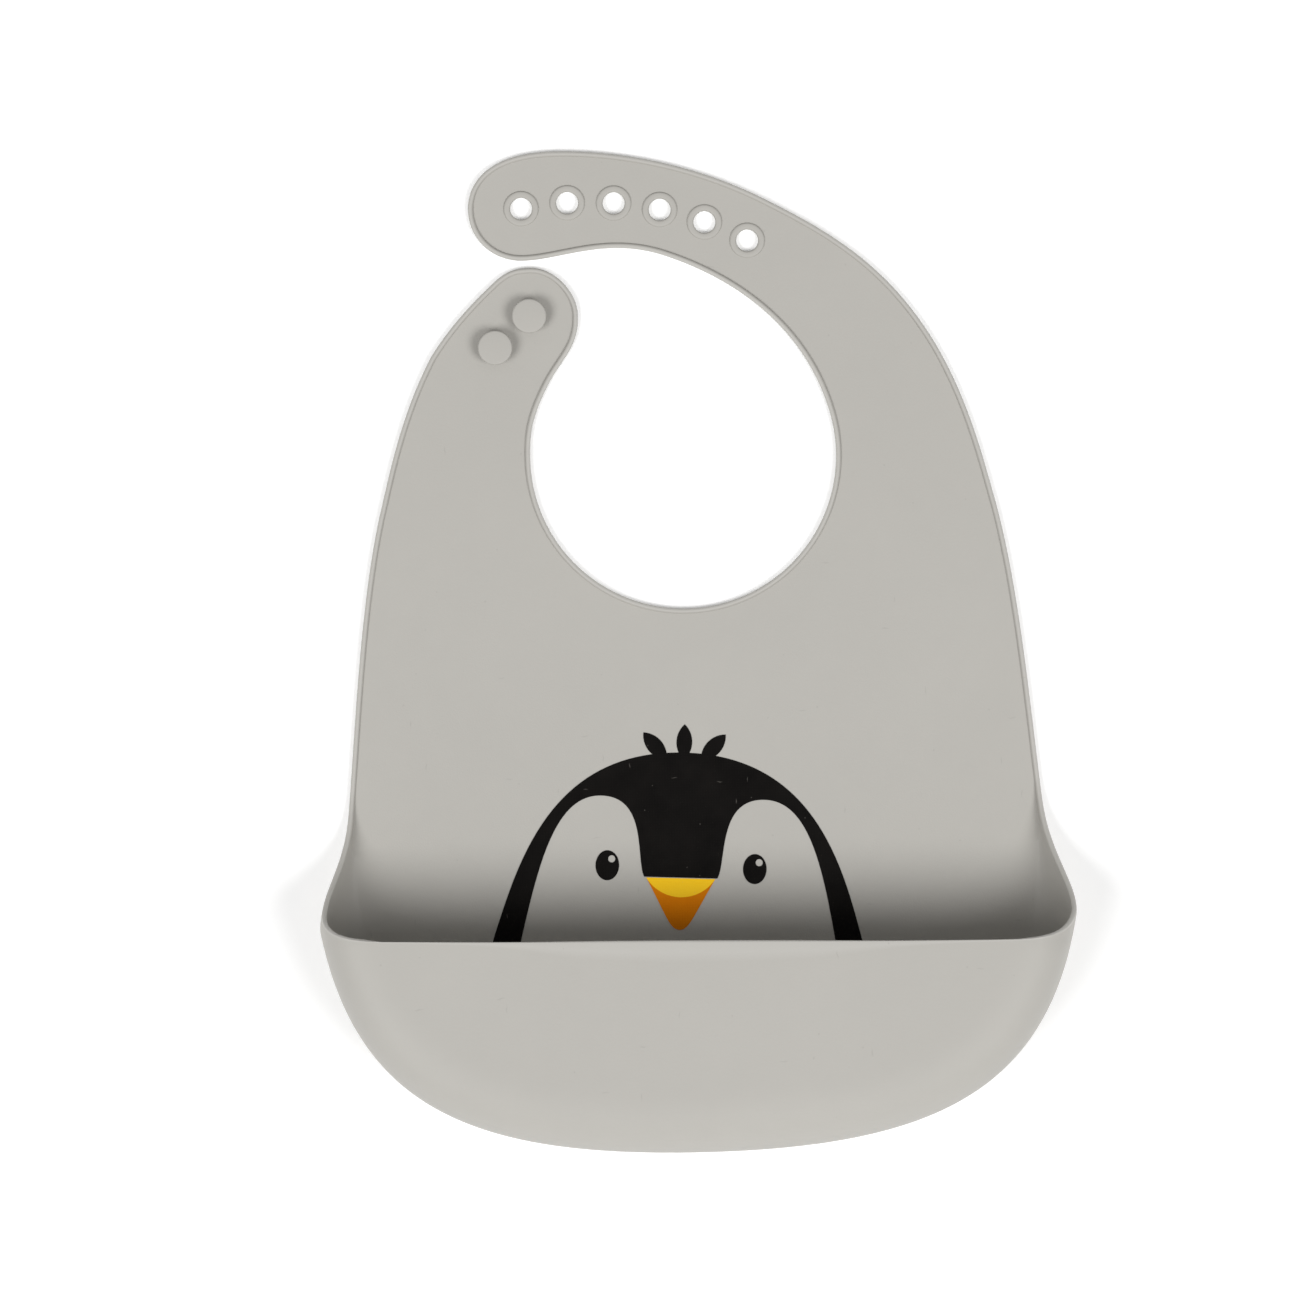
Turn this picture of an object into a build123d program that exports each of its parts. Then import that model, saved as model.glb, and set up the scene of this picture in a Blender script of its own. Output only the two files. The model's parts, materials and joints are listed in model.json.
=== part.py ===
from build123d import *
from math import cos, degrees, radians, sin
import os

# Silicone bib with a catch pocket, lying on its back.
# X runs across the bib, Y from the pocket towards the neck straps, Z up from the back face.

# Silicone sheet and its raised edge
sheet = 1.6
rim_height = 2.6
rim_width = 1.8

# Chest panel
pocket_width = 229.8
waist_width = 211.4
chest_width = 189.2
chest_drop = 212.35
split_rise = 110.55
corner_rise = 69.25

# Neck opening
neck_diameter = 93.7
neck_x = -0.9

# Strap with the row of holes
strap_reach = 60.25
strap_shift_x = -29.8
strap_shift_y = -28.9
hole_count = 6
holes_on_tip = 3
hole_pitch = 14.25
first_hole_angle = 99.6
hole_diameter = 6.7
eyelet_diameter = 10.8
eyelet_height = 0.7
crest_angle = 93.4
crest_half = 16.2
end_hole_margin = 10.6
root_length = 29.0

# Strap with the two studs
stud_gap = 17.6
stud_angle = 142.8
stud_tilt = 41.6
stud_clearance = 0.45
tab_hinge_angle = 165.0
tab_hinge_inset = 18.74
stem_height = 2.8
head_diameter = 10.6
head_height = 1.7
head_chamfer = 0.35

# Catch pocket
pocket_depth = 44.0
pocket_wall = 1.8
lip_rise = 65.2
floor_inset = 7.0
lower_height = 13.2
lower_inset = 1.5
widest_height = 27.28
shoulder_height = 38.28
shoulder_inset = 4.5
front_inset = 16.0

# Printed penguin
ink = 0.15
print_x = -5.0
print_rise = 82.9
print_tilt = -3.0
hood_top = 38.3
leg_foot_x = 62.0
leg_foot_y = -42.0
patch_top = 24.5
patch_foot_x = 53.0
patch_foot_y = -43.0
brow_half = 11.2
feather_rise = 36.0
feather_lean = 42.0
feather_gap = 5.25
feather_length = 11.0
feather_half_width = 2.4
eye_spread = 22.6
eye_rise = 3.2
eye_half_width = 3.6
eye_half_height = 4.6
glint_x = 1.3
glint_y = 2.0
glint_diameter = 2.2
beak_half = 10.6
beak_top = -0.2
beak_bulge = -6.0
beak_tip = -16.0

# Places worked out from the sizes
far = 2 * (chest_drop + neck_diameter)
neck_radius = neck_diameter / 2
strap_radius = neck_radius + strap_reach
strap_rise = strap_shift_y + (strap_radius + crest_half) * sin(radians(crest_angle))
neck_y = (chest_drop - strap_rise) / 2
bottom_y = neck_y - chest_drop
split_y = bottom_y + split_rise
corner_y = bottom_y + corner_rise
lip_y = bottom_y + lip_rise
neck_centre = Vector(neck_x, neck_y)
strap_centre = Vector(neck_x + strap_shift_x, neck_y + strap_shift_y)
pitch_angle = degrees(hole_pitch / strap_radius)
hole_angles = [first_hole_angle - i * pitch_angle for i in range(hole_count)]
tip_angle = first_hole_angle - (holes_on_tip - 0.5) * pitch_angle
mid_angle = hole_angles[-1] - degrees(end_hole_margin / strap_radius)
root_angle = mid_angle - degrees(root_length / strap_radius)


def around(centre, angle, radius):
    return Vector(centre.X + radius * cos(radians(angle)), centre.Y + radius * sin(radians(angle)))


def strap_point(angle, offset):
    # offset is measured outwards from the line through the holes
    return around(strap_centre, angle, strap_radius + offset)


stud_middle = around(neck_centre, stud_angle, neck_radius + stud_gap)


def stud_point(along, across):
    # along runs from the lower stud to the upper one, across to its left
    base = around(stud_middle, stud_tilt, along)
    return around(base, stud_tilt + 90, across)


def print_point(right, up):
    base = around(Vector(print_x, bottom_y + print_rise), print_tilt, right)
    return around(base, print_tilt + 90, up)


lower_stud_place = stud_point(-hole_pitch / 2, 0)
upper_stud_place = stud_point(hole_pitch / 2, 0)

# ---------------------------------------------------------------- outline
crest = strap_point(crest_angle, crest_half)
strap_nose = strap_point(107.9, 4.1)
strap_foot = strap_point(101.2, -15.5)
strap_waist_outer = strap_point(60.6, 13.9)
strap_waist_inner = strap_point(75.3, -13.1)
neck_join = around(neck_centre, 16.1, neck_radius)
neck_left = Vector(neck_x - neck_radius, neck_y)
neck_bottom = Vector(neck_x, neck_y - neck_radius)
shoulder = Vector(neck_radius + 30.65, neck_y + 31.9)
chest = Vector(chest_width / 2, neck_y - 17.2)
waist = Vector(waist_width / 2, split_y)
corner = Vector(pocket_width / 2, corner_y)
tab_waist = stud_point(-4.1, -19.6)
tab_side = stud_point(18.4, -9.8)
tab_top = stud_point(17.7, 10.6)
tab_outer = stud_point(6.3, 15.1)


def mirrored(point):
    return Vector(-point.X, point.Y)


def shifted(point, dx, dy):
    return Vector(point.X + dx, point.Y + dy)


def pocket_half(inset):
    # control points of the right half of the pocket's plan, from the split line to the bottom
    half = corner.X - inset
    flare = [
        shifted(waist, 0, 0),
        shifted(waist, 1.4, -14),
        Vector(half + 1.3, corner_y + 7),
        Vector(half, corner_y),
    ]
    reach = corner_rise - inset
    belly = [
        Vector(half, corner_y),
        Vector(half - 9.9, corner_y - 0.77 * reach),
        Vector(0.61 * half, corner_y - reach),
        Vector(0, corner_y - reach),
    ]
    return flare, belly


def pocket_line(inset, top_y, edge):
    # one closed plan section of the pocket: inset from its widest outline, side edges moved in by edge
    flare, belly = pocket_half(inset)
    flare = [shifted(flare[0], -edge, 0), shifted(flare[1], -edge, 0), flare[2], flare[3]]
    right_top = Vector(flare[0].X, top_y)
    if top_y > split_y:
        Line(right_top, flare[0])
        Line(mirrored(flare[0]), mirrored(right_top))
    Bezier(*flare)
    Bezier(*belly)
    Bezier(*[mirrored(p) for p in reversed(belly)])
    Bezier(*[mirrored(p) for p in reversed(flare)])
    Line(mirrored(right_top), right_top)


flare, belly = pocket_half(0)
side = [chest, shifted(chest, 6.2, -25.9), shifted(waist, -2.5, 25), waist]
upper_side = [shoulder, shifted(shoulder, 9.7, -17.7), shifted(chest, -3.5, 13.6), chest]

with BuildSketch() as outline:
    with BuildLine():
        Bezier(crest, shifted(crest, 10, 0), strap_point(75.8, 18.2), strap_waist_outer)
        Bezier(strap_waist_outer, strap_point(50.1, 16.4), strap_point(41.4, 19.7), shoulder)
        Bezier(*upper_side)
        Bezier(*side)
        Bezier(*flare)
        Bezier(*belly)
        Bezier(*[mirrored(p) for p in reversed(belly)])
        Bezier(*[mirrored(p) for p in reversed(flare)])
        Bezier(*[mirrored(p) for p in reversed(side)])
        Bezier(*[mirrored(p) for p in reversed(upper_side)])
        Bezier(mirrored(shoulder), stud_point(-13.9, 14.2), stud_point(-3.7, 15.1), tab_outer)
        Bezier(tab_outer, stud_point(11.6, 15.1), stud_point(14.1, 13.9), tab_top)
        Bezier(tab_top, stud_point(23.1, 5.8), stud_point(23.1, -4.6), tab_side)
        Bezier(tab_side, stud_point(11.5, -17.6), stud_point(5.6, -15.8), tab_waist)
        Bezier(tab_waist, stud_point(-13.3, -23.1), shifted(neck_left, 0, 7.9), neck_left)
        ThreePointArc(neck_left, neck_bottom, neck_join)
        Bezier(neck_join, strap_point(47.8, -8.6), strap_point(65.9, -12.8), strap_waist_inner)
        Bezier(strap_waist_inner, strap_point(85.8, -10.7), strap_point(93.8, -17.0), strap_foot)
        Bezier(strap_foot, strap_point(106.8, -13.2), strap_point(109.4, -4.3), strap_nose)
        Bezier(strap_nose, strap_point(107.2, 8.4), shifted(crest, -24.7, 0), crest)
    make_face()

with BuildSketch() as rim:
    add(outline.sketch)
    inside = offset(outline.sketch, amount=-rim_width, mode=Mode.PRIVATE)
    add(inside.to_splines(), mode=Mode.SUBTRACT)

# ---------------------------------------------------------------- where the sheet flexes
gap_y = (strap_foot.Y + tab_top.Y) / 2
tab_hinge_inner = around(neck_centre, tab_hinge_angle, neck_radius - tab_hinge_inset)
tab_hinge_outer = around(neck_centre, tab_hinge_angle, (gap_y - neck_y) / sin(radians(tab_hinge_angle)))

with BuildSketch() as root_zone:
    with BuildLine():
        Polyline(
            strap_centre,
            around(strap_centre, root_angle, far),
            around(strap_centre, mid_angle, far),
            close=True,
        )
    make_face()

with BuildSketch() as mid_zone:
    with BuildLine():
        Polyline(
            strap_centre,
            around(strap_centre, mid_angle, far),
            around(strap_centre, tip_angle, far),
            close=True,
        )
    make_face()

with BuildSketch() as tip_zone:
    with BuildLine():
        Polyline(
            strap_centre,
            around(strap_centre, tip_angle, far),
            Vector(-far, neck_y + far),
            Vector(-far, gap_y),
            Vector(strap_centre.X, gap_y),
            close=True,
        )
    make_face()

with BuildSketch() as stud_zone:
    with BuildLine():
        Polyline(
            tab_hinge_inner,
            Vector(tab_hinge_inner.X, gap_y),
            tab_hinge_outer,
            close=True,
        )
    make_face()

with BuildSketch() as pocket_zone:
    with Locations((0, split_y - far / 2)):
        Rectangle(2 * far, far)

with BuildSketch() as chest_zone:
    Rectangle(2 * far, 2 * far)
    for zone in (root_zone, mid_zone, tip_zone, stud_zone, pocket_zone):
        add(zone.sketch, mode=Mode.SUBTRACT)

# ---------------------------------------------------------------- chest panel
with BuildPart() as bib_panel:
    with BuildSketch():
        add(outline.sketch)
        add(chest_zone.sketch, mode=Mode.INTERSECT)
    extrude(amount=sheet)
    with BuildSketch():
        add(rim.sketch)
        add(chest_zone.sketch, mode=Mode.INTERSECT)
    extrude(amount=rim_height)
bib_panel.part.label = "bib_panel"

# ---------------------------------------------------------------- strap with holes
with BuildPart() as hole_strap_root:
    with BuildSketch():
        add(outline.sketch)
        add(root_zone.sketch, mode=Mode.INTERSECT)
    extrude(amount=sheet)
    with BuildSketch():
        add(rim.sketch)
        add(root_zone.sketch, mode=Mode.INTERSECT)
    extrude(amount=rim_height)
hole_strap_root.part.label = "hole_strap_root"

with BuildPart() as hole_strap_mid:
    with BuildSketch():
        add(outline.sketch)
        add(mid_zone.sketch, mode=Mode.INTERSECT)
        with Locations([strap_point(angle, 0) for angle in hole_angles[holes_on_tip:]]):
            Circle(hole_diameter / 2, mode=Mode.SUBTRACT)
    extrude(amount=sheet)
    with BuildSketch():
        add(rim.sketch)
        add(mid_zone.sketch, mode=Mode.INTERSECT)
    extrude(amount=rim_height)
hole_strap_mid.part.label = "hole_strap_mid"

with BuildPart() as hole_strap_tip:
    with BuildSketch():
        add(outline.sketch)
        add(tip_zone.sketch, mode=Mode.INTERSECT)
        with Locations([strap_point(angle, 0) for angle in hole_angles[:holes_on_tip]]):
            Circle(hole_diameter / 2, mode=Mode.SUBTRACT)
    extrude(amount=sheet)
    with BuildSketch():
        add(rim.sketch)
        add(tip_zone.sketch, mode=Mode.INTERSECT)
    extrude(amount=rim_height)
hole_strap_tip.part.label = "hole_strap_tip"

# ---------------------------------------------------------------- raised eyelet round each hole
eyelets = []
for number, angle in enumerate(hole_angles, start=1):
    with BuildPart() as eyelet:
        with BuildSketch(Plane.XY.offset(sheet)):
            with Locations(strap_point(angle, 0)):
                Circle(eyelet_diameter / 2)
                Circle(hole_diameter / 2, mode=Mode.SUBTRACT)
        extrude(amount=eyelet_height)
    eyelet.part.label = f"eyelet_{number}"
    eyelets.append(eyelet.part)

# ---------------------------------------------------------------- strap with studs
with BuildPart() as stud_strap:
    with BuildSketch():
        add(outline.sketch)
        add(stud_zone.sketch, mode=Mode.INTERSECT)
    extrude(amount=sheet)
    with BuildSketch():
        add(rim.sketch)
        add(stud_zone.sketch, mode=Mode.INTERSECT)
    extrude(amount=rim_height)
stud_strap.part.label = "stud_strap"

studs = []
for name, place in (("upper_stud", upper_stud_place), ("lower_stud", lower_stud_place)):
    with BuildPart() as stud:
        with BuildSketch(Plane.XY.offset(sheet)):
            with Locations(place):
                Circle(hole_diameter / 2 - stud_clearance)
        extrude(amount=stem_height)
        with BuildSketch(Plane.XY.offset(sheet + stem_height)):
            with Locations(place):
                Circle(head_diameter / 2)
        extrude(amount=head_height)
        chamfer(stud.edges().group_by(Axis.Z)[-1], length=head_chamfer)
    stud.part.label = name
    studs.append(stud.part)

# ---------------------------------------------------------------- catch pocket
# heights of the outer sections, with how far each lies inside the widest one
levels = [
    (0, floor_inset),
    (lower_height, lower_inset),
    (widest_height, 0),
    (shoulder_height, shoulder_inset),
    (pocket_depth, front_inset),
]

with BuildPart() as catch_pocket:
    for height, inset in levels:
        with BuildSketch(Plane.XY.offset(height)):
            with BuildLine():
                pocket_line(inset, split_y, 0)
            make_face()
    loft()
    for height, inset in levels:
        inner_height = sheet + height * (pocket_depth - sheet - pocket_wall) / pocket_depth
        with BuildSketch(Plane.XY.offset(inner_height)):
            with BuildLine():
                pocket_line(inset + pocket_wall, split_y + pocket_wall, pocket_wall)
            make_face()
    loft(mode=Mode.SUBTRACT)
    with BuildSketch(Plane.YZ.offset(-pocket_width)):
        with BuildLine():
            lip = Vector(lip_y, pocket_depth)
            foot = Vector(split_y, rim_height)
            Bezier(foot, shifted(foot, -20, 1.5), shifted(lip, 10, -22), lip)
            Line(lip, shifted(lip, 0, pocket_wall))
            Line(shifted(lip, 0, pocket_wall), Vector(split_y, pocket_depth + pocket_wall))
            Line(Vector(split_y, pocket_depth + pocket_wall), foot)
        make_face()
    extrude(amount=2 * pocket_width, mode=Mode.SUBTRACT)
catch_pocket.part.label = "catch_pocket"

# ---------------------------------------------------------------- printed penguin
with BuildPart() as print_hood:
    with BuildSketch(Plane.XY.offset(sheet)):
        with BuildLine():
            for s in (1, -1):
                Bezier(
                    print_point(0, hood_top),
                    print_point(s * 41, hood_top),
                    print_point(s * 50, 3),
                    print_point(s * 56.5, -19),
                )
                Line(print_point(s * 56.5, -19), print_point(s * leg_foot_x, leg_foot_y))
            Line(print_point(leg_foot_x, leg_foot_y), print_point(-leg_foot_x, leg_foot_y))
        make_face()
        for s in (1, -1):
            with BuildLine():
                Bezier(
                    print_point(s * patch_foot_x, patch_foot_y),
                    print_point(s * 45.5, -10),
                    print_point(s * 43, patch_top),
                    print_point(s * 25, patch_top),
                )
                Bezier(
                    print_point(s * 25, patch_top),
                    print_point(s * 10.5, patch_top),
                    print_point(s * 14, 5),
                    print_point(s * brow_half, 0),
                )
                Line(print_point(s * brow_half, 0), print_point(0, 0))
                Line(print_point(0, 0), print_point(0, patch_foot_y))
                Line(print_point(0, patch_foot_y), print_point(s * patch_foot_x, patch_foot_y))
            make_face(mode=Mode.SUBTRACT)
        for s in (-1, 0, 1):
            across = print_tilt - s * feather_lean
            root = print_point(s * feather_gap, feather_rise)
            tip = around(root, across + 90, feather_length)
            middle = (root + tip) / 2
            with BuildLine():
                ThreePointArc(root, around(middle, across, feather_half_width), tip)
                ThreePointArc(tip, around(middle, across + 180, feather_half_width), root)
            make_face()
    extrude(amount=ink)
print_hood.part.label = "print_hood"

eyes = []
for name, s in (("left_eye", -1), ("right_eye", 1)):
    with BuildPart() as eye:
        with BuildSketch(Plane.XY.offset(sheet)):
            with Locations(Location(print_point(s * eye_spread, eye_rise), (0, 0, print_tilt))):
                Ellipse(eye_half_width, eye_half_height)
            with Locations(print_point(s * eye_spread + glint_x, eye_rise + glint_y)):
                Circle(glint_diameter / 2, mode=Mode.SUBTRACT)
        extrude(amount=ink)
    eye.part.label = name
    eyes.append(eye.part)

with BuildPart() as beak_upper:
    with BuildSketch(Plane.XY.offset(sheet)):
        with BuildLine():
            Line(print_point(-beak_half, beak_top), print_point(beak_half, beak_top))
            ThreePointArc(
                print_point(beak_half, beak_top),
                print_point(0, beak_bulge),
                print_point(-beak_half, beak_top),
            )
        make_face()
    extrude(amount=ink)
beak_upper.part.label = "beak_upper"

with BuildPart() as beak_lower:
    with BuildSketch(Plane.XY.offset(sheet)):
        with BuildLine():
            ThreePointArc(
                print_point(-beak_half, beak_top),
                print_point(0, beak_bulge),
                print_point(beak_half, beak_top),
            )
            Bezier(
                print_point(beak_half, beak_top),
                print_point(4, -12),
                print_point(3, beak_tip),
                print_point(0, beak_tip),
            )
            Bezier(
                print_point(0, beak_tip),
                print_point(-3, beak_tip),
                print_point(-4, -12),
                print_point(-beak_half, beak_top),
            )
        make_face()
    extrude(amount=ink)
beak_lower.part.label = "beak_lower"

# ---------------------------------------------------------------- files
os.makedirs("parts", exist_ok=True)
finished = [
    bib_panel.part,
    catch_pocket.part,
    hole_strap_root.part,
    hole_strap_mid.part,
    hole_strap_tip.part,
    stud_strap.part,
    print_hood.part,
    beak_upper.part,
    beak_lower.part,
]
for piece in finished + eyelets + studs + eyes:
    export_step(piece, f"parts/{piece.label}.step")
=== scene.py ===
import json
import math
import bpy
import bmesh
import numpy as np
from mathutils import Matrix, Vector
from mathutils.geometry import delaunay_2d_cdt


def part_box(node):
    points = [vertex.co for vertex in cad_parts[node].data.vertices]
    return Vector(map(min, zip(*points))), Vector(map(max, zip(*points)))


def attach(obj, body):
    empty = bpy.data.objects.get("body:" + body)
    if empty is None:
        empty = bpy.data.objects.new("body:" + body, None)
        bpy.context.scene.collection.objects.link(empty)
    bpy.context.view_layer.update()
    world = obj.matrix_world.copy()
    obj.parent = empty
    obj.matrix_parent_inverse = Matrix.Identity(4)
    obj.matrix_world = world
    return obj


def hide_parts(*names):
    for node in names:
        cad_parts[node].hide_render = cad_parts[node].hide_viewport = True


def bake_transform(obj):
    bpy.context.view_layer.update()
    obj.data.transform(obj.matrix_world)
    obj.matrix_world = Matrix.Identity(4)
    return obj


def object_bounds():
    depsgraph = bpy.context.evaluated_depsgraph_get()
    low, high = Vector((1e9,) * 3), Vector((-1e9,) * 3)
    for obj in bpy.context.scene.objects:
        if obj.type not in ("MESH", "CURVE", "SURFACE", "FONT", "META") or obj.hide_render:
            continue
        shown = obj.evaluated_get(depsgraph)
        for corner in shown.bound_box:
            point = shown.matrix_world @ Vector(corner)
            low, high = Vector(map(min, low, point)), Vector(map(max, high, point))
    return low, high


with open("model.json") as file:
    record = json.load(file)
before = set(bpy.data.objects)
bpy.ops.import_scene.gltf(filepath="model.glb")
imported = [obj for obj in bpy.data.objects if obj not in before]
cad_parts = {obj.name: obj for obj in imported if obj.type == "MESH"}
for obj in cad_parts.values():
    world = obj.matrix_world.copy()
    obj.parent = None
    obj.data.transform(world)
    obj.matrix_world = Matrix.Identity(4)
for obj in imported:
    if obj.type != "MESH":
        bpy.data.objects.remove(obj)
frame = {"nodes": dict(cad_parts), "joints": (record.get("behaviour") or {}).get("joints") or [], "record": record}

cadLow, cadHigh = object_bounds()
print("frame loaded")

# The outline is worked out in millimetres and made metres when a mesh is made.
mm = 0.001
bottomY = cadLow.y / mm
joints = {j["name"]: j for j in frame["joints"]}
mounts = {m["name"]: m for m in frame["record"]["mounts"]}


def around(centre, angle, radius):
    turn = math.radians(angle)
    return np.array((centre[0] + radius * math.cos(turn), centre[1] + radius * math.sin(turn)))


def bezier(controls, t):
    a, b, c, d = (np.array(p, float) for p in controls)
    t = np.asarray(t, float)[:, None]
    return (1 - t) ** 3 * a + 3 * (1 - t) ** 2 * t * b + 3 * (1 - t) * t ** 2 * c + t ** 3 * d


def unit(vectors):
    return vectors / np.maximum(np.linalg.norm(vectors, axis=-1, keepdims=True), 1e-12)


def smoothstep(t):
    t = np.clip(t, 0, 1)
    return t * t * (3 - 2 * t)


def resample(path, count, bend=0.0, power=1.0):
    # even steps along a path, closer where it turns (bend) or near its start (power)
    length = np.linalg.norm(np.diff(path, axis=0), axis=1)
    path = path[np.r_[True, length > 1e-7]]
    step = np.diff(path, axis=0)
    length = np.linalg.norm(step, axis=1)
    heading = step / length[:, None]
    turn = np.zeros(len(length))
    turn[1:] = np.arccos(np.clip((heading[1:] * heading[:-1]).sum(1), -1, 1))
    travel = np.r_[0, np.cumsum(length + bend * turn)]
    goal = travel[-1] * np.linspace(0, 1, count) ** power
    return np.column_stack([np.interp(goal, travel, path[:, k]) for k in range(3)])


# the bib's outline, clockwise from the crest of the long strap
bibShape = {
    "pocketWidth": 229.8, "waistWidth": 211.4, "chestWidth": 189.2,
    "chestDrop": 212.35, "splitRise": 110.55, "cornerRise": 69.25,
    "neckDiameter": 93.7, "neckX": -0.9,
    "strapReach": 60.25, "strapShift": (-29.8, -28.9), "crestAngle": 93.4, "crestHalf": 16.2,
    "studAngle": 142.8, "studGap": 17.6, "studTilt": 41.6,
    "step": 1.35,           # between sections
    "crowding": 1.35,       # sections draw together at the front wall's two ends
    "hingeReach": 35,       # a joint's line cuts the outline within this distance
}

neckRadius = bibShape["neckDiameter"] / 2
neckX = bibShape["neckX"]
neckY = bottomY + bibShape["chestDrop"]
neckCentre = (neckX, neckY)
strapRadius = neckRadius + bibShape["strapReach"]
strapCentre = (neckX + bibShape["strapShift"][0], neckY + bibShape["strapShift"][1])
splitY = bottomY + bibShape["splitRise"]
cornerY = bottomY + bibShape["cornerRise"]
studMiddle = around(neckCentre, bibShape["studAngle"], neckRadius + bibShape["studGap"])


def strapPoint(angle, offset):
    return around(strapCentre, angle, strapRadius + offset)


def studPoint(along, across):
    turn = math.radians(bibShape["studTilt"])
    return studMiddle + np.array((along * math.cos(turn) - across * math.sin(turn),
                                  along * math.sin(turn) + across * math.cos(turn)))


def outlineCurves():
    # each curve: its four points, how each moves as the pocket draws in, how much it is pocket at each end
    still = [(0, 0)] * 4
    crest = strapPoint(bibShape["crestAngle"], bibShape["crestHalf"])
    nose, foot = strapPoint(107.9, 4.1), strapPoint(101.2, -15.5)
    waistOuter, waistInner = strapPoint(60.6, 13.9), strapPoint(75.3, -13.1)
    joinAngle = 16.1
    join = around(neckCentre, joinAngle, neckRadius)
    neckLeft = np.array((neckX - neckRadius, neckY))
    shoulder = np.array((neckRadius + 30.65, neckY + 31.9))
    chest = np.array((bibShape["chestWidth"] / 2, neckY - 17.2))
    waist = np.array((bibShape["waistWidth"] / 2, splitY))
    half, reach = bibShape["pocketWidth"] / 2, bibShape["cornerRise"]
    tabWaist, tabSide = studPoint(-4.1, -19.6), studPoint(18.4, -9.8)
    tabTop, tabOuter = studPoint(17.7, 10.6), studPoint(6.3, 15.1)

    upper = [shoulder, shoulder + (9.7, -17.7), chest + (-3.5, 13.6), chest]
    side = [chest, chest + (6.2, -25.9), waist + (-2.5, 25), waist]
    flare = [waist, waist + (1.4, -14), (half + 1.3, cornerY + 7), (half, cornerY)]
    flareDraw = [(0, 0), (0, 0), (-1, 0), (-1, 0)]
    belly = [(half, cornerY), (half - 9.9, cornerY - 0.77 * reach), (0.61 * half, cornerY - reach),
             (0, cornerY - reach)]
    bellyDraw = [(-1, 0), (-1, 0.77), (-0.61, 1), (0, 1)]

    def other(points):
        return [np.array((-p[0], p[1])) for p in points][::-1]

    right = [(upper, still, 0, 0), (side, still, 0, 0), (flare, flareDraw, 0, 1), (belly, bellyDraw, 1, 1)]
    left = [(other(c), other(d), e, s) for c, d, s, e in right][::-1]
    neckArc = ("arc", neckCentre, neckRadius, 180, 360 + joinAngle)
    return [
        ([crest, crest + (10, 0), strapPoint(75.8, 18.2), waistOuter], still, 0, 0),
        ([waistOuter, strapPoint(50.1, 16.4), strapPoint(41.4, 19.7), shoulder], still, 0, 0),
        *right, *left,
        ([shoulder * (-1, 1), studPoint(-13.9, 14.2), studPoint(-3.7, 15.1), tabOuter], still, 0, 0),
        ([tabOuter, studPoint(11.6, 15.1), studPoint(14.1, 13.9), tabTop], still, 0, 0),
        ([tabTop, studPoint(23.1, 5.8), studPoint(23.1, -4.6), tabSide], still, 0, 0),
        ([tabSide, studPoint(11.5, -17.6), studPoint(5.6, -15.8), tabWaist], still, 0, 0),
        ([tabWaist, studPoint(-13.3, -23.1), neckLeft + (0, 7.9), neckLeft], still, 0, 0),
        neckArc,
        ([join, strapPoint(47.8, -8.6), strapPoint(65.9, -12.8), waistInner], still, 0, 0),
        ([waistInner, strapPoint(85.8, -10.7), strapPoint(93.8, -17.0), foot], still, 0, 0),
        ([foot, strapPoint(106.8, -13.2), strapPoint(109.4, -4.3), nose], still, 0, 0),
        ([nose, strapPoint(107.2, 8.4), crest + (-24.7, 0), crest], still, 0, 0),
    ]


def sampleOutline():
    # rows of x, y, draw x, draw y, pocket share
    rows = []
    for curve in outlineCurves():
        if curve[0] == "arc":
            _, centre, radius, start, end = curve
            count = round(math.radians(end - start) * radius / bibShape["step"])
            angles = np.linspace(start, end, count, endpoint=False)
            xy = np.array([around(centre, a, radius) for a in angles])
            rows.append(np.column_stack([xy, np.zeros((count, 3))]))
            continue
        controls, draws, first, last = curve
        length = np.linalg.norm(np.diff(bezier(controls, np.linspace(0, 1, 60)), axis=0), axis=1).sum()
        count = max(6, round(length / bibShape["step"]))
        t = np.linspace(0, 1, count, endpoint=False)
        if first == last == 1:
            startsAtSide = controls[0][0] > 1
            power = bibShape["crowding"]
            t = t ** power if startsAtSide else 1 - (1 - t) ** power
        share = first + (last - first) * smoothstep(t)
        rows.append(np.column_stack([bezier(controls, t), bezier(draws, t), share]))
    return np.vstack(rows)


def hingeCuts(rows):
    # adds a row wherever the outline crosses a joint's line, so neighbouring pieces share one section there
    found = []
    nextRows = np.roll(rows, -1, axis=0)
    closest = 0.3       # a row nearer to the line than this share of a step is dropped
    for name, joint in joints.items():
        origin = np.array(joint["pos_m"][:2]) / mm
        axis = np.array(joint["axis"][:2])
        before, after = [axis[0] * (p[:, 1] - origin[1]) - axis[1] * (p[:, 0] - origin[0])
                         for p in (rows, nextRows)]
        for i in np.nonzero(before * after < 0)[0]:
            share = before[i] / (before[i] - after[i])
            point = rows[i] + share * (nextRows[i] - rows[i])
            along = (point[:2] - origin) @ axis
            if abs(along) < bibShape["hingeReach"]:
                found.append((i + share, name, point, axis if along < 0 else -axis))
    found.sort(key=lambda f: f[0])
    out, marks, last = [], [], 0
    for place, name, point, inwardAxis in found:
        stop = int(place) + 1
        keep = rows[last:stop]
        if place - int(place) < closest:
            keep = keep[:-1]
        out.append(keep)
        out.append(point[None])
        marks.append((sum(len(o) for o in out) - 1, name, inwardAxis))
        last = stop + (1 if place - int(place) > 1 - closest else 0)
    out.append(rows[last:])
    return np.vstack(out), marks


rows = sampleOutline()
rows, cuts = hingeCuts(rows)
base, draw, share = rows[:, :2], rows[:, 2:4], rows[:, 4]
count = len(rows)
heading = unit(np.roll(base, -1, axis=0) - np.roll(base, 1, axis=0))
inward = np.column_stack([heading[:, 1], -heading[:, 0]])
for place, name, axis in cuts:
    inward[place] = axis
print("outline:", count, "sections, cut at", [(p, n) for p, n, _ in cuts])


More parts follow.
